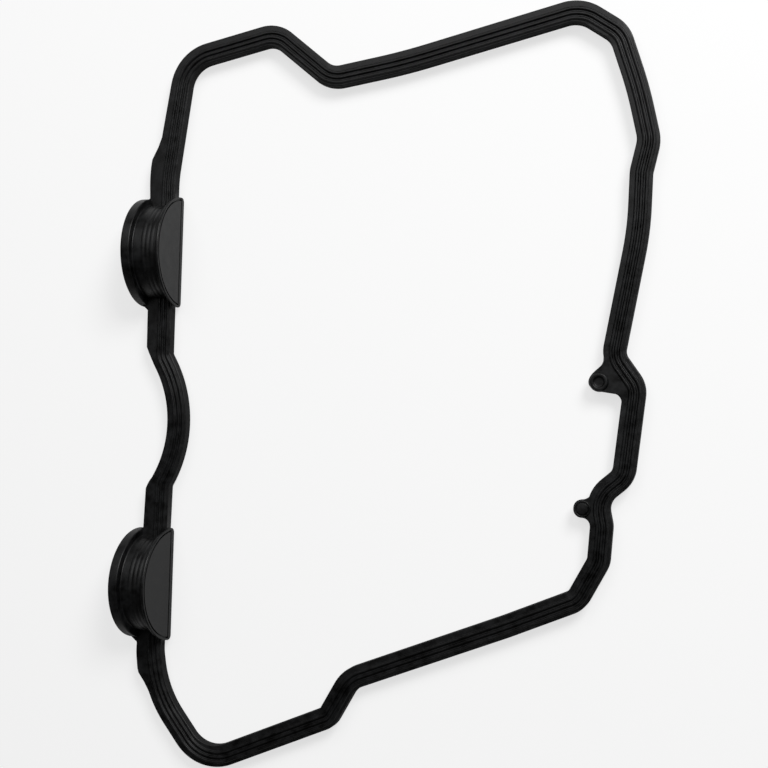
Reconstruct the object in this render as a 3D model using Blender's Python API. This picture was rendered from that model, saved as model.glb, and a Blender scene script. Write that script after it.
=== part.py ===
"""Valve cover gasket: one moulded rubber loop with two half-moon plugs and two locating ears.

It lies flat with its locating rib down (z = 0) and its beads and half-moons up. X runs
along the axis of the half-moons, from their side of the loop to the far side.
Lengths are in millimetres here and are turned into metres when the mesh is made.
"""

import math

import bmesh
import bpy

MM = 0.001

# Strip section.
STRIP_WIDTH = 5.35
STRIP_THICKNESS = 2.75
EDGE_CHAMFER = 0.22
BEAD_PITCH = 1.18
BEAD_BASE = 0.98
BEAD_CREST = 0.26
BEAD_HEIGHT = 0.42
BEADS_INWARD = 0.15
RIB_TIP_WIDTH = 2.0
RIB_ROOT_WIDTH = 2.4
RIB_HEIGHT = 1.0

# Largest gap between a true curve and its facets.
CHORD_ERROR = 0.035

# Edges that turn by less than this many degrees are shaded smooth.
SMOOTH_ANGLE = 30.0

# Centreline of the strip, clockwise from the foot of the upper half-moon's straight:
# x, y and the radius of the strip's tighter edge at each corner.
LOOP_CORNERS = [
    (-59.63, 6.3, 0.9),
    (-59.68, 52.8, 35.0),
    (-55.65, 83.4, 6.8),
    (-30.6, 89.05, 4.3),
    (-15.7, 76.8, 4.1),
    (3.5, 79.95, 160.0),
    (46.8, 90.65, 6.2),
    (56.2, 84.3, 4.6),
    (60.75, 70.8, 90.0),
    (63.55, 58.6, 5.6),
    (61.85, 51.0, 2.4),
    (61.5, 37.3, 72.0),
    (56.2, 7.4, 2.6),
    (61.4, 0.2, 2.3),
    (59.15, -20.7, 2.4),
    (52.95, -26.0, 3.6),
    (54.3, -32.45, 1.5),
    (53.75, -40.85, 1.7),
    (48.8, -50.15, 2.2),
    (32.2, -57.3, 72.0),
    (-6.35, -72.7, 4.6),
    (-11.7, -82.45, 0.6),
    (-44.6, -96.75, 7.4),
    (-57.8, -80.0, 26.0),
    (-59.5, -69.5, 15.0),
    (-58.67, -26.5, 0.5),
    (-50.25, -10.6, 27.8),
]

# Extra width of the outer margin beside the half-moons: y and added width, per half-moon.
UPPER_MARGIN = [
    (5.0, 0.0),
    (6.3, 0.3),
    (8.6, 1.3),
    (18.2, 1.4),
    (19.6, 3.0),
    (46.4, 3.0),
    (47.4, 1.75),
    (55.4, 2.0),
    (57.5, 1.75),
    (60.5, 0.75),
    (63.0, 0.3),
    (78.0, 0.0),
]
LOWER_MARGIN = [
    (-79.6, 0.0),
    (-77.4, 0.55),
    (-74.9, 1.75),
    (-67.4, 1.45),
    (-66.2, 3.0),
    (-39.0, 3.0),
    (-38.0, 1.3),
    (-28.0, 1.2),
    (-25.0, 0.0),
]

# Half-moon plugs: the y of each axis, then at the foot the x of each outer face and the
# length, then the angle in degrees by which each leans outwards.
UPPER_PLUG_Y = 33.3
LOWER_PLUG_Y = -52.25
UPPER_PLUG_X = -66.03
LOWER_PLUG_X = -65.1
UPPER_PLUG_LENGTH = 10.5
LOWER_PLUG_LENGTH = 9.85
UPPER_PLUG_LEAN = 1.0
LOWER_PLUG_LEAN = 5.4
PLUG_LIFT = 0.2
OUTER_FLANGE_RADIUS = 14.05
INNER_FLANGE_RADIUS = 14.4
GROOVE_RADIUS = 12.35
OUTER_FLANGE = 2.4
INNER_FLANGE = 0.7
FLANGE_ROUND = 0.3
ROOT_FILLET = 0.25
GROOVE_BEAD_HEIGHT = 0.2
TIP_ROUND = 1.3
PANEL_RIM = 0.6
PANEL_BAND = 1.3
PANEL_LINE = 0.35
PANEL_LINE_DEPTH = 0.25

# How far a cutter reaches past what it cuts.
CUT_CLEARANCE = 1.0

# Ears on the inside of the far strip: x, y and corner radius, then the boss on each.
EAR_LIFT = 0.2
UPPER_EAR = [
    (57.2, 9.6, 0.0),
    (54.0, 8.0, 0.0),
    (53.95, 5.6, 2.0),
    (47.7, -0.15, 2.4),
    (58.2, -1.65, 2.0),
    (58.45, -4.6, 0.0),
    (61.2, -4.0, 0.0),
    (61.2, 0.3, 0.0),
    (56.6, 7.0, 0.0),
]
UPPER_BOSS = (53.05, 1.5)
LOWER_EAR = [
    (54.8, -22.0, 0.0),
    (53.3, -22.4, 0.0),
    (51.3, -26.45, 3.1),
    (47.65, -26.5, 2.0),
    (47.65, -30.65, 2.0),
    (51.6, -30.8, 1.9),
    (51.6, -33.6, 0.0),
    (54.0, -33.0, 0.0),
]
LOWER_BOSS = (49.8, -28.58)
BOSS_RADIUS = 2.2
BOSS_TOP_RADIUS = 1.8
BOSS_HEIGHT = 0.5
DIMPLE_RADIUS = 1.35
DIMPLE_FLOOR_RADIUS = 0.9
DIMPLE_DEPTH = 0.45
BUTTON_RADIUS = 2.0
BUTTON_TOP_RADIUS = 1.4

UNDERSIDE = RIB_HEIGHT
FLAT_TOP = RIB_HEIGHT + STRIP_THICKNESS


def arc_steps(radius, angle):
    """Number of chords that keeps an arc within the chord error."""
    widest = 2 * math.acos(1 - CHORD_ERROR / max(radius, 4 * CHORD_ERROR))
    return max(1, math.ceil(abs(angle) / widest))


def rounded_path(corners, side=0.0):
    """Points and left-hand normals of a closed path whose corners are true arcs.

    Each corner's radius is given at the edge that lies `side` away from the path, on the
    inside of its bend.
    """
    count = len(corners)
    bends = []
    for k in range(count):
        x, y, radius = corners[k]
        before = corners[k - 1]
        after = corners[(k + 1) % count]
        come = math.atan2(y - before[1], x - before[0])
        leave = math.atan2(after[1] - y, after[0] - x)
        turn = (leave - come + math.pi) % (2 * math.pi) - math.pi
        radius = radius + side
        tangent = radius * math.tan(abs(turn) / 2)
        start = (x - tangent * math.cos(come), y - tangent * math.sin(come))
        bends.append((start, come, turn, radius))
    stations = []
    for (sx, sy), come, turn, radius in bends:
        sign = 1 if turn > 0 else -1
        centre = (sx - sign * radius * math.sin(come), sy + sign * radius * math.cos(come))
        steps = arc_steps(radius + side, turn) if radius > 0 else 0
        for k in range(steps + 1):
            heading = come + turn * k / max(steps, 1)
            px = centre[0] + sign * radius * math.sin(heading)
            py = centre[1] - sign * radius * math.cos(heading)
            stations.append(((px, py), (-math.sin(heading), math.cos(heading))))
    return stations


def lerp_table(table, value):
    """Value read off a list of (position, height) pairs, level beyond both ends."""
    if value <= table[0][0]:
        return table[0][1]
    for (p0, h0), (p1, h1) in zip(table, table[1:]):
        if value <= p1:
            return h0 + (h1 - h0) * (value - p0) / (p1 - p0)
    return table[-1][1]


def mesh_object(name, points, faces):
    """Object from points in millimetres."""
    mesh = bpy.data.meshes.new(name)
    mesh.from_pydata([[c * MM for c in p] for p in points], [], faces)
    work = bmesh.new()
    work.from_mesh(mesh)
    bmesh.ops.recalc_face_normals(work, faces=work.faces)
    work.to_mesh(mesh)
    work.free()
    thing = bpy.data.objects.new(name, mesh)
    bpy.context.scene.collection.objects.link(thing)
    return thing


def loft(name, rings, closed):
    """Solid through rings of equal length; open lofts get a flat face at each end."""
    size = len(rings[0])
    points = [p for ring in rings for p in ring]
    faces = []
    spans = len(rings) if closed else len(rings) - 1
    for r in range(spans):
        a = r * size
        b = ((r + 1) % len(rings)) * size
        for k in range(size):
            n = (k + 1) % size
            faces.append((a + k, a + n, b + n, b + k))
    if not closed:
        faces.append(tuple(range(size)))
        faces.append(tuple(range(len(points) - size, len(points))))
    return mesh_object(name, points, faces)


def prism(name, outline, low, high):
    """Upright solid over a flat outline."""
    bottom = [(x, y, low) for x, y in outline]
    top = [(x, y, high) for x, y in outline]
    return loft(name, [bottom, top], False)


def disc(name, centre, sections):
    """Turned solid about an upright axis from (radius, z) pairs."""
    steps = arc_steps(max(r for r, z in sections), 2 * math.pi)
    rings = []
    for radius, z in sections:
        ring = []
        for k in range(steps):
            a = 2 * math.pi * k / steps
            ring.append((centre[0] + radius * math.cos(a), centre[1] + radius * math.sin(a), z))
        rings.append(ring)
    return loft(name, rings, False)


def bead_profile(height):
    """Offsets and heights of the three beads, from the outer one to the inner one."""
    profile = []
    for bead in (1, 0, -1):
        middle = bead * BEAD_PITCH - BEADS_INWARD
        profile.append((middle + BEAD_BASE / 2, 0.0))
        profile.append((middle + BEAD_CREST / 2, height))
        profile.append((middle - BEAD_CREST / 2, height))
        profile.append((middle - BEAD_BASE / 2, 0.0))
    return profile


def strip_section(margin):
    """Closed section as (offset outwards, z), with an extra outer margin."""
    inner = -STRIP_WIDTH / 2
    outer = STRIP_WIDTH / 2 + margin
    chamfer = EDGE_CHAMFER
    section = [
        (inner, UNDERSIDE + chamfer),
        (inner + chamfer, UNDERSIDE),
        (-RIB_ROOT_WIDTH / 2, UNDERSIDE),
        (-RIB_TIP_WIDTH / 2, 0.0),
        (RIB_TIP_WIDTH / 2, 0.0),
        (RIB_ROOT_WIDTH / 2, UNDERSIDE),
        (outer - chamfer, UNDERSIDE),
        (outer, UNDERSIDE + chamfer),
        (outer, FLAT_TOP - chamfer),
        (outer - chamfer, FLAT_TOP),
    ]
    section += [(offset, FLAT_TOP + rise) for offset, rise in bead_profile(BEAD_HEIGHT)]
    section += [(inner + chamfer, FLAT_TOP), (inner, FLAT_TOP - chamfer)]
    return section


def beside_plugs(x):
    """True on the side of the loop that carries the half-moons."""
    return x < UPPER_PLUG_X / 2


def margin_stations(stations):
    """Adds a station wherever a margin starts, ends or changes its taper."""
    marks = [y for y, width in UPPER_MARGIN + LOWER_MARGIN]
    filled = []
    for k, (point, normal) in enumerate(stations):
        filled.append((point, normal))
        after, next_normal = stations[(k + 1) % len(stations)]
        if not (beside_plugs(point[0]) and beside_plugs(after[0])):
            continue
        between = [y for y in marks if min(point[1], after[1]) < y < max(point[1], after[1])]
        for y in sorted(between, reverse=after[1] < point[1]):
            t = (y - point[1]) / (after[1] - point[1])
            x = point[0] + (after[0] - point[0]) * t
            nx = normal[0] + (next_normal[0] - normal[0]) * t
            ny = normal[1] + (next_normal[1] - normal[1]) * t
            filled.append(((x, y), (nx, ny)))
    return filled


def make_strip():
    """The loop: the section swept round the rounded centreline."""
    rings = []
    for (x, y), (nx, ny) in margin_stations(rounded_path(LOOP_CORNERS, STRIP_WIDTH / 2)):
        margin = 0.0
        if beside_plugs(x):
            margin = lerp_table(UPPER_MARGIN, y) + lerp_table(LOWER_MARGIN, y)
        rings.append([(x + nx * o, y + ny * o, z) for o, z in strip_section(margin)])
    return loft("strip", rings, True)


def strip_x(y):
    """X of the loop's centreline where it passes a half-moon."""
    upper = [LOOP_CORNERS[0], LOOP_CORNERS[1]]
    lower = [LOOP_CORNERS[-3], LOOP_CORNERS[-2]]
    first, last = upper if y > 0 else lower
    return first[0] + (last[0] - first[0]) * (y - first[1]) / (last[1] - first[1])


def quarter(cx, cr, radius, start, end):
    """Points of a small rounding in the plane of x and radius."""
    steps = 3
    points = []
    for k in range(steps + 1):
        a = math.radians(start + (end - start) * k / steps)
        points.append((cx + radius * math.cos(a), cr + radius * math.sin(a)))
    return points


def plug_profile(face_x, length, bead_x):
    """Turned profile of a half-moon as (x, radius), from its outer face inwards."""
    outer = OUTER_FLANGE_RADIUS - FLANGE_ROUND
    inner = INNER_FLANGE_RADIUS - FLANGE_ROUND
    groove_start = face_x + OUTER_FLANGE
    end = face_x + length
    groove_end = end - INNER_FLANGE
    profile = quarter(face_x + FLANGE_ROUND, outer, FLANGE_ROUND, 180, 90)
    profile += quarter(groove_start - FLANGE_ROUND, outer, FLANGE_ROUND, 90, 0)
    root = GROOVE_RADIUS + ROOT_FILLET
    profile += quarter(groove_start + ROOT_FILLET, root, ROOT_FILLET, 180, 270)
    beads = bead_profile(GROOVE_BEAD_HEIGHT)
    profile += [(bead_x - o, GROOVE_RADIUS + rise) for o, rise in beads]
    profile.append((groove_end, GROOVE_RADIUS))
    profile += quarter(groove_end + FLANGE_ROUND, inner, FLANGE_ROUND, 180, 90)
    profile += quarter(end - FLANGE_ROUND, inner, FLANGE_ROUND, 90, 0)
    return profile


def half_turn(name, profile, axis_y, axis_z):
    """Half-round solid about a line along X, with a flat foot at the height of that line."""
    steps = arc_steps(INNER_FLANGE_RADIUS, math.pi)
    rings = []
    for k in range(steps + 1):
        a = math.pi * k / steps
        rings.append([(x, axis_y + r * math.cos(a), axis_z + r * math.sin(a)) for x, r in profile])
    size = len(profile)
    count = len(rings)
    points = [p for ring in rings for p in ring]
    faces = []
    for r in range(count - 1):
        for k in range(size - 1):
            a = r * size + k
            faces.append((a, a + 1, a + size + 1, a + size))
    faces.append(tuple(r * size for r in range(count)))
    faces.append(tuple(r * size + size - 1 for r in range(count)))
    faces.append(tuple(range(size)) + tuple(reversed(range((count - 1) * size, count * size))))
    return mesh_object(name, points, faces)


def half_disc(radius, chord, axis_y, axis_z, steps):
    """Outline in y and z of a half-disc cut off level at a height above its axis."""
    low = math.asin(chord / radius)
    outline = []
    for k in range(steps + 1):
        a = low + (math.pi - 2 * low) * k / steps
        outline.append((axis_y + radius * math.cos(a), axis_z + radius * math.sin(a)))
    return outline


def cut_panel_line(plug, end, axis_y, axis_z):
    """Cuts the fine line that frames the flat panel of the inner face."""
    outer = INNER_FLANGE_RADIUS - PANEL_RIM
    inner = outer - PANEL_LINE
    steps = arc_steps(outer, math.pi)
    outside = half_disc(outer, PANEL_BAND, axis_y, axis_z, steps)
    inside = half_disc(inner, PANEL_BAND + PANEL_LINE, axis_y, axis_z, steps)
    low = end - PANEL_LINE_DEPTH
    high = end + CUT_CLEARANCE
    rings = []
    for (oy, oz), (iy, iz) in zip(outside, inside):
        rings.append([(low, oy, oz), (high, oy, oz), (high, iy, iz), (low, iy, iz)])
    cut(plug, loft(plug.name + "_line", rings, True))


def round_tips(plug, end, axis_y, axis_z):
    """Rounds both lower corners of the inner flange."""
    reach = math.sqrt((INNER_FLANGE_RADIUS - TIP_ROUND) ** 2 - TIP_ROUND ** 2)
    lean = math.atan2(TIP_ROUND, reach)
    steps = arc_steps(TIP_ROUND, math.pi / 2 + lean)
    far = INNER_FLANGE_RADIUS + CUT_CLEARANCE
    outline = []
    for k in range(steps + 1):
        a = -math.pi / 2 + (math.pi / 2 + lean) * k / steps
        outline.append((reach + TIP_ROUND * math.cos(a), TIP_ROUND + TIP_ROUND * math.sin(a)))
    outline += [(far, outline[-1][1]), (far, -CUT_CLEARANCE), (reach, -CUT_CLEARANCE)]
    for side in (1, -1):
        rings = []
        for x in (end - INNER_FLANGE - ROOT_FILLET, end + CUT_CLEARANCE):
            rings.append([(x, axis_y + side * y, axis_z + z) for y, z in outline])
        cut(plug, loft(plug.name + "_tip", rings, False))


def make_plug(name, axis_y, face_x, length, lean):
    """One half-moon with its groove and beads and the framed panel on its inner face."""
    axis_z = UNDERSIDE + PLUG_LIFT
    plug = half_turn(name, plug_profile(face_x, length, strip_x(axis_y)), axis_y, axis_z)
    cut_panel_line(plug, face_x + length, axis_y, axis_z)
    round_tips(plug, face_x + length, axis_y, axis_z)
    for v in plug.data.vertices:
        v.co.x -= (v.co.z - axis_z * MM) * math.tan(math.radians(lean))
    return plug


def make_ear(name, corners, boss_centre, dimpled):
    """One ear: a thin web with a raised round boss on the bead side."""
    low = UNDERSIDE + EAR_LIFT
    high = FLAT_TOP
    outline = [point for point, normal in rounded_path(corners)]
    ear = prism(name, outline, low, high)
    crown = high + BOSS_HEIGHT
    middle = (low + high) / 2
    if dimpled:
        boss = [(BOSS_RADIUS, middle), (BOSS_RADIUS, high), (BOSS_TOP_RADIUS, crown)]
        join(ear, disc(name + "_boss", boss_centre, boss))
        floor_z = crown - DIMPLE_DEPTH
        slope = (DIMPLE_RADIUS - DIMPLE_FLOOR_RADIUS) / DIMPLE_DEPTH
        mouth = (DIMPLE_RADIUS + slope * CUT_CLEARANCE, crown + CUT_CLEARANCE)
        cut(ear, disc(name + "_dimple", boss_centre, [(DIMPLE_FLOOR_RADIUS, floor_z), mouth]))
    else:
        button = [(BUTTON_RADIUS, middle), (BUTTON_RADIUS, high), (BUTTON_TOP_RADIUS, crown)]
        join(ear, disc(name + "_button", boss_centre, button))
    return ear


def combine(target, tool, operation):
    """Applies one exact Boolean and removes the tool."""
    tool.hide_render = True
    tool.display_type = "WIRE"
    step = target.modifiers.new(operation.lower(), "BOOLEAN")
    step.operation = operation
    step.solver = "EXACT"
    step.object = tool
    graph = bpy.context.evaluated_depsgraph_get()
    result = bpy.data.meshes.new_from_object(target.evaluated_get(graph))
    target.modifiers.remove(step)
    target.data = result
    bpy.data.objects.remove(tool)


def join(target, tool):
    combine(target, tool, "UNION")


def cut(target, tool):
    combine(target, tool, "DIFFERENCE")


def rubber():
    """Satin black rubber."""
    material = bpy.data.materials.new("rubber")
    material.use_nodes = True
    shader = material.node_tree.nodes["Principled BSDF"]
    shader.inputs["Base Color"].default_value = (0.018, 0.019, 0.02, 1.0)
    shader.inputs["Roughness"].default_value = 0.5
    shader.inputs["Metallic"].default_value = 0.0
    return material


def centre_on_floor(thing):
    """Puts the middle of the outline over the origin."""
    xs = [v.co.x for v in thing.data.vertices]
    ys = [v.co.y for v in thing.data.vertices]
    dx = (min(xs) + max(xs)) / 2
    dy = (min(ys) + max(ys)) / 2
    for v in thing.data.vertices:
        v.co.x -= dx
        v.co.y -= dy


def main():
    for old in list(bpy.data.objects):
        bpy.data.objects.remove(old)
    gasket = make_strip()
    gasket.name = "gasket"
    upper = (UPPER_PLUG_Y, UPPER_PLUG_X, UPPER_PLUG_LENGTH, UPPER_PLUG_LEAN)
    lower = (LOWER_PLUG_Y, LOWER_PLUG_X, LOWER_PLUG_LENGTH, LOWER_PLUG_LEAN)
    join(gasket, make_plug("upper_plug", *upper))
    join(gasket, make_plug("lower_plug", *lower))
    join(gasket, make_ear("upper_ear", UPPER_EAR, UPPER_BOSS, True))
    join(gasket, make_ear("lower_ear", LOWER_EAR, LOWER_BOSS, False))
    centre_on_floor(gasket)
    gasket.data.materials.clear()
    gasket.data.materials.append(rubber())
    gasket.data.shade_smooth()
    gasket.data.set_sharp_from_angle(angle=math.radians(SMOOTH_ANGLE))


main()
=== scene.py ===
import math

import bmesh
import bpy
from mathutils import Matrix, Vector


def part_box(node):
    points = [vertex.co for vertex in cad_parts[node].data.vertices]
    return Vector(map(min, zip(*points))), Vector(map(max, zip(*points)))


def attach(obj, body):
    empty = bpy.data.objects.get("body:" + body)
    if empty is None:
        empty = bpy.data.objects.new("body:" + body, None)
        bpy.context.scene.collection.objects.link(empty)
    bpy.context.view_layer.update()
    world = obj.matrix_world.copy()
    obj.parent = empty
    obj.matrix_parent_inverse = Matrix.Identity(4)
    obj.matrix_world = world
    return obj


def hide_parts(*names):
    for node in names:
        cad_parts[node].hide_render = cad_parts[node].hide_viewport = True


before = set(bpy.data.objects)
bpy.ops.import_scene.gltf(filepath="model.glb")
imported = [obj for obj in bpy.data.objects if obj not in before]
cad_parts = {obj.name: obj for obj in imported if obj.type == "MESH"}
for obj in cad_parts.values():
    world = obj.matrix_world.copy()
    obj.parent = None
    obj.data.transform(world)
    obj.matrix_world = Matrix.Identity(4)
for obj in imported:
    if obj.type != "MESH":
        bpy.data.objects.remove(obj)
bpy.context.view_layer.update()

cameraSettings = {
    "place": (0.087012, -0.01010, 0.31114),
    "turnDegrees": (2.6458, 15.5966, 1.6116),
    "lens": 60.938,
    "sensor": 36.0,
    "clip": (0.01, 20.0),
}

floorSettings = {
    "size": 3.0,
    "colour": (0.86, 0.86, 0.86),
    "roughness": 0.9,
    "gloss": 0.2,
    "whiteShare": 0.7,           # how much of the floor is plain white to the camera
    "skyColour": (1.0, 1.0, 1.0),
    "skyLight": 0.07,
}

lampSettings = {
    # place, aim, size of each side and power
    "key": ((0.35, 0.45, 0.50), (0.0, 0.0, 0.0), (0.30, 0.30), 5.4),
    "soft": ((-0.12, 0.42, 0.60), (0.0, 0.0, 0.0), (0.50, 0.50), 1.8),
}


def makeCamera():
    bpy.ops.object.camera_add(location=cameraSettings["place"])
    camera = bpy.context.object
    camera.name = "photoCamera"
    camera.rotation_euler = [math.radians(a) for a in cameraSettings["turnDegrees"]]
    camera.data.sensor_width = cameraSettings["sensor"]
    camera.data.lens = cameraSettings["lens"]
    camera.data.clip_start, camera.data.clip_end = cameraSettings["clip"]
    bpy.context.scene.camera = camera


def makeFloor():
    bpy.ops.mesh.primitive_plane_add(size=floorSettings["size"], location=(0, 0, 0))
    floor = bpy.context.object
    floor.name = "floor"
    material = bpy.data.materials.new("paleFloor")
    material.use_nodes = True
    nodes = material.node_tree.nodes
    links = material.node_tree.links
    paint = nodes["Principled BSDF"]
    paint.inputs["Base Color"].default_value = (*floorSettings["colour"], 1)
    paint.inputs["Roughness"].default_value = floorSettings["roughness"]
    paint.inputs["Specular IOR Level"].default_value = floorSettings["gloss"]
    white = nodes.new("ShaderNodeEmission")
    white.inputs["Color"].default_value = (1, 1, 1, 1)
    white.inputs["Strength"].default_value = 1
    path = nodes.new("ShaderNodeLightPath")
    share = nodes.new("ShaderNodeMath")
    share.operation = "MULTIPLY"
    share.inputs[1].default_value = floorSettings["whiteShare"]
    links.new(path.outputs["Is Camera Ray"], share.inputs[0])
    mix = nodes.new("ShaderNodeMixShader")
    links.new(share.outputs[0], mix.inputs[0])
    links.new(paint.outputs[0], mix.inputs[1])
    links.new(white.outputs[0], mix.inputs[2])
    links.new(mix.outputs[0], nodes["Material Output"].inputs["Surface"])
    floor.data.materials.append(material)


def makeWorld():
    world = bpy.data.worlds.new("studio")
    bpy.context.scene.world = world
    world.use_nodes = True
    nodes = world.node_tree.nodes
    links = world.node_tree.links
    nodes.clear()
    sky = nodes.new("ShaderNodeBackground")
    sky.inputs["Color"].default_value = (*floorSettings["skyColour"], 1)
    sky.inputs["Strength"].default_value = floorSettings["skyLight"]
    white = nodes.new("ShaderNodeBackground")
    white.inputs["Color"].default_value = (1, 1, 1, 1)
    white.inputs["Strength"].default_value = 1
    path = nodes.new("ShaderNodeLightPath")
    mix = nodes.new("ShaderNodeMixShader")
    out = nodes.new("ShaderNodeOutputWorld")
    links.new(path.outputs["Is Camera Ray"], mix.inputs[0])
    links.new(sky.outputs[0], mix.inputs[1])
    links.new(white.outputs[0], mix.inputs[2])
    links.new(mix.outputs[0], out.inputs["Surface"])


def makeLamps():
    for name, (place, aim, size, power) in lampSettings.items():
        bpy.ops.object.light_add(type="AREA", location=place)
        lamp = bpy.context.object
        lamp.name = name + "Lamp"
        lamp.data.shape = "RECTANGLE"
        lamp.data.size, lamp.data.size_y = size
        lamp.data.energy = power
        lamp.rotation_euler = (Vector(aim) - Vector(place)).to_track_quat("-Z", "Y").to_euler()


rubberSettings = {
    "darkColour": (0.0003, 0.0003, 0.0003, 1),
    "lightColour": (0.0080, 0.0083, 0.0088, 1),
    "tintRange": (0.35, 0.7),    # blotch values that give the two colours
    "refraction": 1.5,
    "gloss": 0.25,
    "roughLow": 0.34,
    "roughHigh": 0.50,
    "roughRange": (0.3, 0.7),
    "dullRough": 0.45,           # added where the moulding is dull
    "blotchScale": 420.0,
    "blotchDetail": 4,
    "blotchMix": 0.6,
    "grainScale": 2600.0,
    "grainDetail": 3,
    "grainDepth": 0.00001,
}


def makeRubber():
    s = rubberSettings
    material = bpy.data.materials.new("blackRubber")
    material.use_nodes = True
    nodes = material.node_tree.nodes
    links = material.node_tree.links
    rubber = nodes["Principled BSDF"]
    rubber.inputs["IOR"].default_value = s["refraction"]
    rubber.inputs["Specular IOR Level"].default_value = s["gloss"]
    place = nodes.new("ShaderNodeTexCoord")
    blotch = nodes.new("ShaderNodeTexNoise")
    blotch.inputs["Scale"].default_value = s["blotchScale"]
    blotch.inputs["Detail"].default_value = s["blotchDetail"]
    blotch.inputs["Roughness"].default_value = s["blotchMix"]
    links.new(place.outputs["Object"], blotch.inputs["Vector"])
    grain = nodes.new("ShaderNodeTexNoise")
    grain.inputs["Scale"].default_value = s["grainScale"]
    grain.inputs["Detail"].default_value = s["grainDetail"]
    links.new(place.outputs["Object"], grain.inputs["Vector"])
    tint = nodes.new("ShaderNodeValToRGB")
    tint.color_ramp.elements[0].position = s["tintRange"][0]
    tint.color_ramp.elements[0].color = s["darkColour"]
    tint.color_ramp.elements[1].position = s["tintRange"][1]
    tint.color_ramp.elements[1].color = s["lightColour"]
    links.new(blotch.outputs["Fac"], tint.inputs["Fac"])
    links.new(tint.outputs["Color"], rubber.inputs["Base Color"])
    rough = nodes.new("ShaderNodeMapRange")
    rough.inputs["From Min"].default_value = s["roughRange"][0]
    rough.inputs["From Max"].default_value = s["roughRange"][1]
    rough.inputs["To Min"].default_value = s["roughLow"]
    rough.inputs["To Max"].default_value = s["roughHigh"]
    links.new(blotch.outputs["Fac"], rough.inputs["Value"])
    dull = nodes.new("ShaderNodeAttribute")
    dull.attribute_name = "dullness"
    rougher = nodes.new("ShaderNodeMath")
    rougher.operation = "MULTIPLY_ADD"
    rougher.inputs[1].default_value = s["dullRough"]
    links.new(dull.outputs["Fac"], rougher.inputs[0])
    links.new(rough.outputs["Result"], rougher.inputs[2])
    links.new(rougher.outputs[0], rubber.inputs["Roughness"])
    bump = nodes.new("ShaderNodeBump")
    bump.inputs["Strength"].default_value = 1.0
    bump.inputs["Distance"].default_value = s["grainDepth"]
    links.new(grain.outputs["Fac"], bump.inputs["Height"])
    links.new(bump.outputs["Normal"], rubber.inputs["Normal"])
    return material


# the gasket is drawn in millimetres and brought to the frame's metres at the end
drawingSettings = {
    "same": 0.001,               # points nearer than this are one point
    "merge": 0.002,
    "near": 0.01,
    "sliver": 0.0005,            # what the union leaves that is smaller goes
    "segments": 4,               # of a rounding, where nothing else is said
    "smoothAngle": 38.0,
}

stripDrawing = {
    # the strip's middle line, clockwise: x, y and the radius of the tighter edge
    "corners": [
        (-59.63, 6.3, 0.9),
        (-59.68, 52.8, 35.0),
        (-55.65, 83.4, 6.8),
        (-30.6, 89.05, 4.3),
        (-15.7, 76.8, 4.1),
        (3.5, 79.95, 160.0),
        (46.8, 90.65, 6.2),
        (56.2, 84.3, 4.6),
        (60.75, 70.8, 90.0),
        (63.55, 58.6, 5.6),
        (61.85, 51.0, 2.4),
        (61.5, 37.3, 72.0),
        (56.2, 7.4, 2.6),
        (61.4, 0.2, 2.3),
        (59.15, -20.7, 2.4),
        (52.95, -26.0, 3.6),
        (54.3, -32.45, 1.5),
        (53.75, -40.85, 1.7),
        (48.8, -50.15, 2.2),
        (32.2, -57.3, 72.0),
        (-6.35, -72.7, 4.6),
        (-11.7, -82.45, 0.6),
        (-44.6, -96.75, 7.4),
        (-57.8, -80.0, 26.0),
        (-59.5, -69.5, 15.0),
        (-58.67, -26.5, 0.5),
        (-50.25, -10.6, 27.8),
    ],
    "halfWidth": 2.675,
    "segments": 3,               # of the section's roundings
    "underside": 1.0,            # the rib below it stands on the floor
    "flat": 3.75,
    "edgeRound": 0.24,
    "ribTip": 1.0,               # half widths of the rib
    "ribRoot": 1.2,
    "ribRound": 0.16,
    "beadPitch": 1.18,
    "beadBase": 0.46,            # half widths of a bead
    "beadCrest": 0.19,
    "beadHeight": 0.42,
    "beadRound": 0.07,
    "beadsInward": 0.15,
    "beadDrift": (0.45, -0.32, 0.0),   # the beads don't run quite true to the edges
    "bendStep": 4.0,             # degrees of a bend between two rings
    "bendError": 0.005,
    # extra width of the outer margin beside each half-moon: y and width
    "margin": [
        (-79.6, 0.0), (-77.4, 0.55), (-74.9, 1.75), (-67.4, 1.45), (-66.2, 3.0),
        (-39.0, 3.0), (-38.0, 1.3), (-28.0, 1.2), (-25.0, 0.0),
        (5.0, 0.0), (6.3, 0.3), (8.6, 1.3), (18.2, 1.4), (19.6, 3.0), (46.4, 3.0),
        (47.4, 1.75), (55.4, 2.1), (57.2, 2.25), (60.5, 1.0), (63.0, 0.35), (78.0, 0.0),
    ],
    "marginSide": -33.0,         # only what lies left of this x has the margin
}


def startDrawing(name, place):
    # one loose point in edit mode, at the place given
    bpy.ops.object.select_all(action="DESELECT")
    bpy.ops.mesh.primitive_plane_add(size=1, location=(0, 0, 0))
    shape = bpy.context.object
    shape.name = name
    bpy.ops.object.mode_set(mode="EDIT")
    bpy.ops.mesh.select_mode(type="VERT")
    bpy.ops.mesh.merge(type="CENTER")
    bpy.ops.transform.translate(value=place)
    return shape


def pick(shape, test):
    # selects the points whose place passes the test, with the edges and faces between them
    mesh = bmesh.from_edit_mesh(shape.data)
    for point in mesh.verts:
        point.select_set(False)
    for point in mesh.verts:
        if test(point.co):
            point.select_set(True)
    mesh.select_flush_mode()
    bmesh.update_edit_mesh(shape.data)


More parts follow.
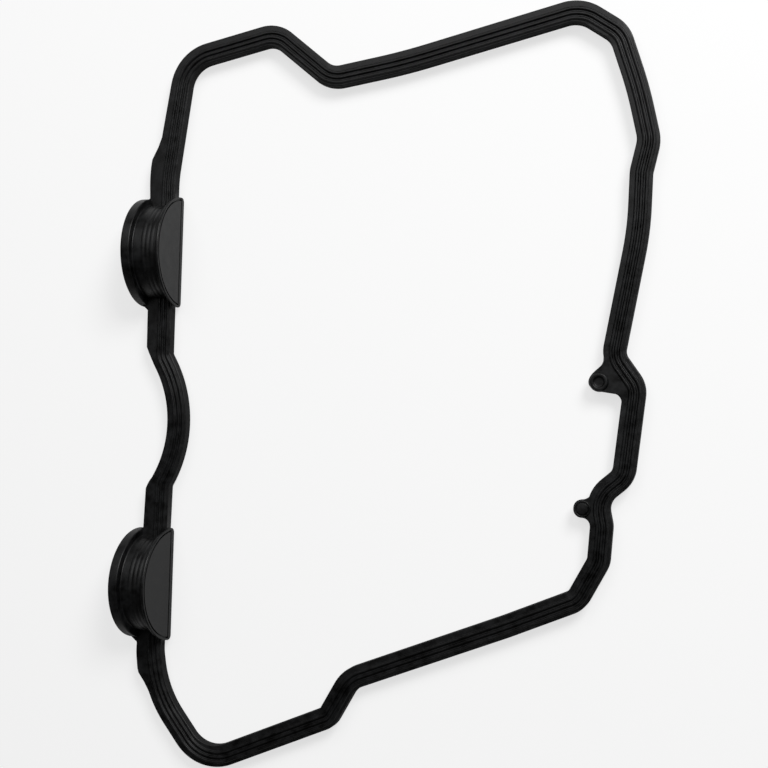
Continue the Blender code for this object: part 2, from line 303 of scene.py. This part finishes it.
def drawShape(name, corners, rounds, segments=drawingSettings["segments"]):
    # a filled outline drawn from corner to corner, whose corners are then rounded
    corners = [Vector(c) for c in corners]
    shape = startDrawing(name, corners[0])
    for before, corner in zip(corners, corners[1:]):
        bpy.ops.mesh.extrude_vertices_move(TRANSFORM_OT_translate={"value": corner - before})
    ends = (corners[0], corners[-1])
    pick(shape, lambda p: min((p - e).length for e in ends) < drawingSettings["same"])
    bpy.ops.mesh.edge_face_add()
    bpy.ops.mesh.select_all(action="SELECT")
    bpy.ops.mesh.edge_face_add()
    for size in sorted(set(rounds) - {0}):
        spots = [c for c, r in zip(corners, rounds) if r == size]
        pick(shape, lambda p: min((p - s).length for s in spots) < drawingSettings["same"])
        bpy.ops.mesh.bevel(offset=size, segments=segments, affect="VERTICES")
    return shape


def closeUp(shape):
    bpy.ops.mesh.select_all(action="SELECT")
    bpy.ops.mesh.remove_doubles(threshold=drawingSettings["merge"])
    bpy.ops.mesh.normals_make_consistent(inside=False)
    bpy.ops.object.mode_set(mode="OBJECT")
    return shape


def layRoute(corners, halfWidth):
    # the straights and arcs of the middle line
    bends = []
    for k, (x, y, radius) in enumerate(corners):
        before = corners[k - 1]
        after = corners[(k + 1) % len(corners)]
        come = math.atan2(y - before[1], x - before[0])
        leave = math.atan2(after[1] - y, after[0] - x)
        turn = (leave - come + math.pi) % (2 * math.pi) - math.pi
        radius += halfWidth
        reach = radius * math.tan(abs(turn) / 2)
        side = math.copysign(radius, turn)
        start = Vector((x - reach * math.cos(come), y - reach * math.sin(come), 0))
        end = Vector((x + reach * math.cos(leave), y + reach * math.sin(leave), 0))
        centre = start + Vector((-side * math.sin(come), side * math.cos(come), 0))
        bends.append({"start": start, "end": end, "centre": centre, "turn": turn,
                      "edge": radius + halfWidth, "leave": leave})
    return bends


def marginWidth(y):
    table = stripDrawing["margin"]
    for (y0, w0), (y1, w1) in zip(table, table[1:]):
        if y0 <= y <= y1:
            return w0 + (w1 - w0) * (y - y0) / (y1 - y0)
    return 0.0


def drawSection(place, heading):
    # the section stands across the strip, with its outer side to the left of the way it runs
    d = stripDrawing
    outwards = Vector((-math.sin(heading), math.cos(heading), 0))
    points = [
        (-d["halfWidth"], d["underside"], d["edgeRound"]),
        (-d["ribRoot"], d["underside"], 0),
        (-d["ribTip"], 0.0, d["ribRound"]),
        (d["ribTip"], 0.0, d["ribRound"]),
        (d["ribRoot"], d["underside"], 0),
        (d["halfWidth"], d["underside"], d["edgeRound"]),
        (d["halfWidth"], d["flat"], d["edgeRound"]),
    ]
    for bead in (1, 0, -1):
        middle = bead * d["beadPitch"] - d["beadsInward"]
        points.append((middle + d["beadBase"], d["flat"], d["beadRound"]))
        points.append((middle + d["beadCrest"], d["flat"] + d["beadHeight"], d["beadRound"]))
        points.append((middle - d["beadCrest"], d["flat"] + d["beadHeight"], d["beadRound"]))
        points.append((middle - d["beadBase"], d["flat"], d["beadRound"]))
    points.append((-d["halfWidth"], d["flat"], d["edgeRound"]))
    corners = [place + outwards * across + Vector((0, 0, up)) for across, up, size in points]
    rounds = [size for across, up, size in points]
    section = drawShape("strip", corners, rounds, d["segments"])

    # groups that the sweep carries along: the outer edge and the beads
    def across(p):
        return (p - place).dot(outwards)

    near = drawingSettings["near"]
    edge = d["halfWidth"] - d["edgeRound"] - near
    bpy.ops.object.vertex_group_add()
    section.vertex_groups.active.name = "outerEdge"
    pick(section, lambda p: across(p) > edge)
    bpy.ops.object.vertex_group_assign()
    bpy.ops.object.vertex_group_add()
    section.vertex_groups.active.name = "beads"
    reach = d["beadPitch"] + d["beadsInward"] + d["beadBase"] + d["beadRound"] + near
    pick(section, lambda p: p.z > d["flat"] - near and abs(across(p)) < reach)
    bpy.ops.object.vertex_group_assign()
    bpy.ops.mesh.select_all(action="SELECT")
    bpy.ops.mesh.delete(type="ONLY_FACE")
    bpy.ops.mesh.select_all(action="SELECT")
    return section


def runStraight(start, goal):
    # carries the section on, with a stop wherever the margin changes its taper
    stops = []
    if max(start.x, goal.x) < stripDrawing["marginSide"]:
        for y, width in stripDrawing["margin"]:
            if min(start.y, goal.y) < y < max(start.y, goal.y):
                stops.append(start.lerp(goal, (y - start.y) / (goal.y - start.y)))
    stops.sort(key=lambda stop: (stop - start).length)
    for stop in stops + [goal]:
        bpy.ops.mesh.extrude_region_move(TRANSFORM_OT_translate={"value": stop - start})
        start = stop


def makeStrip():
    d = stripDrawing
    bends = layRoute(d["corners"], d["halfWidth"])
    at = bends[-1]["end"]
    strip = drawSection(at, bends[-1]["leave"])
    for bend in bends:
        runStraight(at, bend["start"])
        widest = 2 * math.acos(1 - d["bendError"] / bend["edge"])
        step = min(math.radians(d["bendStep"]), widest)
        steps = max(2, math.ceil(abs(bend["turn"]) / step))
        bpy.ops.mesh.spin(steps=steps, angle=-bend["turn"], center=bend["centre"], axis=(0, 0, 1))
        at = bend["end"]
    closeUp(strip)
    bpy.ops.object.mode_set(mode="EDIT")
    bpy.ops.mesh.select_all(action="DESELECT")
    bpy.ops.object.vertex_group_set_active(group="beads")
    bpy.ops.object.vertex_group_select()
    bpy.ops.transform.translate(value=d["beadDrift"])
    bpy.ops.object.mode_set(mode="OBJECT")
    edge = strip.vertex_groups["outerEdge"].index
    for point in strip.data.vertices:
        if point.co.x < d["marginSide"] and edge in [g.group for g in point.groups]:
            point.co.x -= marginWidth(point.co.y)
    strip.vertex_groups.clear()
    print("strip swept,", len(strip.data.polygons), "faces")
    return strip


plugDrawing = {
    # y of the axis, then x of the outer face and the length at the foot, and the lean in degrees
    "upper": (33.3, -66.03, 10.5, 1.0),
    "lower": (-52.25, -65.1, 9.85, 5.4),
    "foot": 1.2,
    "outerRadius": 14.05,
    "innerRadius": 14.4,
    "grooveRadius": 12.35,
    "outerFlange": 2.4,
    "innerFlange": 0.7,
    "flangeRound": 0.28,
    "rootRound": 0.3,
    "ridgeHeight": 0.08,
    "tipRound": 1.3,
    "tipSteps": 12,
    "tipClear": 0.25,            # between a tip's cutter and the groove's side
    "lineRim": 0.5,              # the fine line that frames the flat panel
    "lineFoot": 1.3,
    "lineWidth": 0.42,
    "lineDepth": 0.4,
    "steps": 72,
    "reach": 1.0,                # how far a cutter stands out of what it cuts
}


def stripMiddle(y):
    # x of the strip's middle line where it passes a half-moon
    corners = stripDrawing["corners"]
    first, last = (corners[0], corners[1]) if y > 0 else (corners[-3], corners[-2])
    return first[0] + (last[0] - first[0]) * (y - first[1]) / (last[1] - first[1])


def makeLineCutter(end, axisY):
    # a disc cut off above the foot, inset to a thin band and drawn into the face
    d = plugDrawing
    high = d["foot"] + d["lineFoot"]
    bpy.ops.object.select_all(action="DESELECT")
    bpy.ops.mesh.primitive_circle_add(
        vertices=2 * d["steps"], radius=d["innerRadius"] - d["lineRim"], fill_type="NGON",
        location=(end + d["reach"], axisY, d["foot"]), rotation=(0, math.pi / 2, 0))
    cutter = bpy.context.object
    cutter.name = "lineCutter"
    bpy.ops.object.transform_apply(location=True, rotation=True, scale=True)
    bpy.ops.object.mode_set(mode="EDIT")
    bpy.ops.mesh.select_all(action="SELECT")
    bpy.ops.mesh.bisect(plane_co=(end, axisY, high), plane_no=(0, 0, 1), clear_inner=True)
    bpy.ops.mesh.select_all(action="SELECT")
    bpy.ops.mesh.inset(thickness=d["lineWidth"])
    bpy.ops.mesh.delete(type="FACE")
    bpy.ops.mesh.select_all(action="SELECT")
    depth = d["reach"] + d["lineDepth"]
    bpy.ops.mesh.extrude_region_move(TRANSFORM_OT_translate={"value": (-depth, 0, 0)})
    return closeUp(cutter)


def makeTipCutter(end, axisY, side):
    # what lies outside a small arc at one lower corner of the inner flange
    d = plugDrawing
    small = d["tipRound"]
    middle = math.sqrt((d["innerRadius"] - small) ** 2 - small ** 2)
    top = math.atan2(small, middle)
    far = d["innerRadius"] + d["reach"]
    outline = []
    for k in range(d["tipSteps"] + 1):
        a = -math.pi / 2 + (math.pi / 2 + top) * k / d["tipSteps"]
        outline.append((middle + small * math.cos(a), small + small * math.sin(a)))
    outline += [(far, outline[-1][1]), (far, -d["reach"]), (middle, -d["reach"])]
    back = end - d["innerFlange"] - d["tipClear"]
    corners = [(back, axisY + side * y, d["foot"] + z) for y, z in outline]
    cutter = drawShape("tipCutter", corners, [0] * len(corners))
    bpy.ops.mesh.select_all(action="SELECT")
    length = end - back + d["reach"]
    bpy.ops.mesh.extrude_region_move(TRANSFORM_OT_translate={"value": (length, 0, 0)})
    return closeUp(cutter)


def joinPieces(pieces):
    bpy.ops.object.select_all(action="DESELECT")
    for piece in pieces:
        piece.select_set(True)
    bpy.context.view_layer.objects.active = pieces[0]
    bpy.ops.object.join()
    return pieces[0]


def cutAway(target, cutter):
    bpy.ops.object.select_all(action="DESELECT")
    target.select_set(True)
    bpy.context.view_layer.objects.active = target
    step = target.modifiers.new("cut", "BOOLEAN")
    step.operation = "DIFFERENCE"
    step.solver = "EXACT"
    step.object = cutter
    bpy.ops.object.modifier_apply(modifier=step.name)
    bpy.data.objects.remove(cutter)


def makePlug(name):
    d = plugDrawing
    axisY, faceX, length, lean = d[name]
    beads = stripDrawing
    grooveX = faceX + d["outerFlange"]
    end = faceX + length
    profile = [
        (faceX, 0.0, 0),
        (faceX, d["outerRadius"], d["flangeRound"]),
        (grooveX, d["outerRadius"], d["flangeRound"]),
        (grooveX, d["grooveRadius"], d["rootRound"]),
    ]
    middleX = stripMiddle(axisY) + beads["beadsInward"]
    for bead in (-1, 0, 1):
        middle = middleX + bead * beads["beadPitch"]
        high = d["grooveRadius"] + d["ridgeHeight"]
        profile.append((middle - beads["beadBase"], d["grooveRadius"], beads["beadRound"]))
        profile.append((middle - beads["beadCrest"], high, beads["beadRound"]))
        profile.append((middle + beads["beadCrest"], high, beads["beadRound"]))
        profile.append((middle + beads["beadBase"], d["grooveRadius"], beads["beadRound"]))
    profile += [
        (end - d["innerFlange"], d["grooveRadius"], 0),
        (end - d["innerFlange"], d["innerRadius"], d["flangeRound"]),
        (end, d["innerRadius"], d["flangeRound"]),
        (end, 0.0, 0),
    ]
    corners = [(x, axisY + radius, d["foot"]) for x, radius, size in profile]
    plug = drawShape(name + "Plug", corners, [size for x, radius, size in profile])
    bpy.ops.mesh.select_all(action="SELECT")
    axis = {"center": (0, axisY, d["foot"]), "axis": (1, 0, 0)}
    bpy.ops.mesh.spin(steps=d["steps"], angle=-math.pi, **axis)
    closeUp(plug)
    cutters = [makeLineCutter(end, axisY)]
    cutters += [makeTipCutter(end, axisY, side) for side in (1, -1)]
    cutAway(plug, joinPieces(cutters))
    for point in plug.data.vertices:
        point.co.x -= (point.co.z - d["foot"]) * math.tan(math.radians(lean))
    print(plug.name, "turned,", len(plug.data.polygons), "faces")
    return plug


earDrawing = {
    "low": 1.2,
    "high": 3.77,                # a hair above the strip's flat, which it joins
    "rimRound": 0.15,
    "rimSegments": 3,
    "filletSegments": 14,
    "upperWeb": [
        (57.2, 9.6, 0.0),
        (54.0, 8.0, 0.0),
        (53.95, 5.6, 2.0),
        (47.7, -0.15, 2.75),
        (58.2, -1.65, 2.0),
        (58.45, -4.6, 0.0),
        (61.2, -4.0, 0.0),
        (61.2, 0.3, 0.0),
        (56.6, 7.0, 0.0),
    ],
    "upperPlace": (53.05, 1.25),
    # radius, height above the web and rounding
    "upperBoss": [
        (2.3, 0.0, 0), (2.0, 0.5, 0.14), (1.4, 0.5, 0.1), (1.05, 0.15, 0.12), (0.0, 0.15, 0),
    ],
    "lowerWeb": [
        (54.8, -22.0, 0.0),
        (53.3, -22.4, 0.0),
        (51.3, -26.45, 3.1),
        (47.65, -26.5, 2.0),
        (47.65, -30.65, 2.0),
        (51.6, -30.8, 1.9),
        (51.6, -33.6, 0.0),
        (54.0, -33.0, 0.0),
    ],
    "lowerPlace": (49.8, -28.58),
    "lowerBoss": [
        (2.0, 0.0, 0), (1.88, 0.42, 0.1), (1.66, 0.42, 0.06), (1.56, 0.18, 0.04),
        (1.46, 0.18, 0.04), (1.34, 0.5, 0.08), (0.0, 0.5, 0),
    ],
    "steps": 64,
}


def makeWeb(name, corners):
    d = earDrawing
    reaches = []
    for k, (x, y, radius) in enumerate(corners):
        before = corners[k - 1]
        after = corners[(k + 1) % len(corners)]
        come = math.atan2(y - before[1], x - before[0])
        leave = math.atan2(after[1] - y, after[0] - x)
        turn = (leave - come + math.pi) % (2 * math.pi) - math.pi
        reaches.append(radius * math.tan(abs(turn) / 2))
    places = [(x, y, d["low"]) for x, y, radius in corners]
    web = drawShape(name, places, reaches, d["filletSegments"])
    bpy.ops.mesh.select_all(action="SELECT")
    rise = d["high"] - d["low"]
    bpy.ops.mesh.extrude_region_move(TRANSFORM_OT_translate={"value": (0, 0, rise)})
    pick(web, lambda p: p.z > d["high"] - drawingSettings["near"])
    bpy.ops.mesh.bevel(offset=d["rimRound"], segments=d["rimSegments"], affect="EDGES")
    return closeUp(web)


def makeBoss(name, centre, profile):
    d = earDrawing
    x, y = centre
    root = (d["low"] + d["high"]) / 2
    outline = [(0.0, root, 0), (profile[0][0], root, 0)]
    outline += [(radius, d["high"] + up, size) for radius, up, size in profile]
    places = [(x + radius, y, z) for radius, z, size in outline]
    boss = drawShape(name, places, [size for radius, z, size in outline])
    bpy.ops.mesh.select_all(action="SELECT")
    bpy.ops.mesh.delete(type="ONLY_FACE")
    pick(boss, lambda p: abs(p.x - x) < drawingSettings["same"])
    bpy.ops.mesh.delete(type="EDGE")
    bpy.ops.mesh.select_all(action="SELECT")
    bpy.ops.mesh.spin(steps=d["steps"], angle=2 * math.pi, center=(x, y, 0), axis=(0, 0, 1))
    return closeUp(boss)


def uniteAll(body, parts):
    # one moulding out of the strip and all that grows from it
    group = bpy.data.collections.new("mouldedParts")
    bpy.context.scene.collection.children.link(group)
    for part in parts:
        group.objects.link(part)
    bpy.ops.object.select_all(action="DESELECT")
    body.select_set(True)
    bpy.context.view_layer.objects.active = body
    step = body.modifiers.new("unite", "BOOLEAN")
    step.operation = "UNION"
    step.solver = "EXACT"
    step.operand_type = "COLLECTION"
    step.collection = group
    bpy.ops.object.modifier_apply(modifier=step.name)
    bpy.ops.object.mode_set(mode="EDIT")
    bpy.ops.mesh.select_all(action="SELECT")
    bpy.ops.mesh.remove_doubles(threshold=drawingSettings["sliver"])
    bpy.ops.mesh.dissolve_degenerate(threshold=drawingSettings["sliver"])
    bpy.ops.object.mode_set(mode="OBJECT")
    print("union made, faults put right:", body.data.validate())
    for part in parts:
        bpy.data.objects.remove(part)
    bpy.data.collections.remove(group)


def meshBox(thing):
    places = [point.co for point in thing.data.vertices]
    low = Vector([min(p[k] for p in places) for k in range(3)])
    high = Vector([max(p[k] for p in places) for k in range(3)])
    return low, high


def markDull(thing):
    # the strip's walls are duller than its flats and the half-moons
    near = drawingSettings["near"]
    share = thing.data.attributes.new("dullness", "FLOAT", "POINT")
    wallTop = stripDrawing["flat"] - stripDrawing["edgeRound"] + near
    for point, mark in zip(thing.data.vertices, share.data):
        onPlug = False
        for name in ("upper", "lower"):
            axisY, faceX, length, lean = plugDrawing[name]
            reach = plugDrawing["innerRadius"] + near
            if point.co.x < faceX + length + near and abs(point.co.y - axisY) < reach:
                onPlug = True
        if point.co.z < wallTop and not onPlug:
            mark.value = 1.0


def settleOnFrame(thing):
    # to metres and into the frame's box
    low, high = meshBox(thing)
    cadLow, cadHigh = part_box("gasket")
    scale = Vector([(cadHigh[k] - cadLow[k]) / (high[k] - low[k]) for k in range(3)])
    for point in thing.data.vertices:
        point.co = cadLow + Vector([(point.co[k] - low[k]) * scale[k] for k in range(3)])


def shadeGasket(gasket):
    bpy.ops.object.select_all(action="DESELECT")
    gasket.select_set(True)
    bpy.context.view_layer.objects.active = gasket
    bpy.ops.object.shade_smooth_by_angle(angle=math.radians(drawingSettings["smoothAngle"]))
    bpy.ops.object.modifier_add(type="WEIGHTED_NORMAL")
    even = gasket.modifiers[-1]
    even.keep_sharp = True
    bpy.ops.object.modifier_apply(modifier=even.name)


bpy.context.scene.view_settings.view_transform = "Standard"
makeCamera()
makeFloor()
makeWorld()
makeLamps()
blackRubber = makeRubber()
print("camera, floor, lights and rubber are ready")

gasket = makeStrip()
gasket.name = "mouldedGasket"
growths = [makePlug("upper"), makePlug("lower")]
growths.append(makeWeb("upperWeb", earDrawing["upperWeb"]))
growths.append(makeWeb("lowerWeb", earDrawing["lowerWeb"]))
growths.append(makeBoss("upperBoss", earDrawing["upperPlace"], earDrawing["upperBoss"]))
growths.append(makeBoss("lowerBoss", earDrawing["lowerPlace"], earDrawing["lowerBoss"]))
uniteAll(gasket, growths)
markDull(gasket)
settleOnFrame(gasket)
gasket.data.materials.clear()
gasket.data.materials.append(blackRubber)
shadeGasket(gasket)
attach(gasket, "root")
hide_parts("gasket")
print("gasket moulded,", len(gasket.data.polygons), "faces")
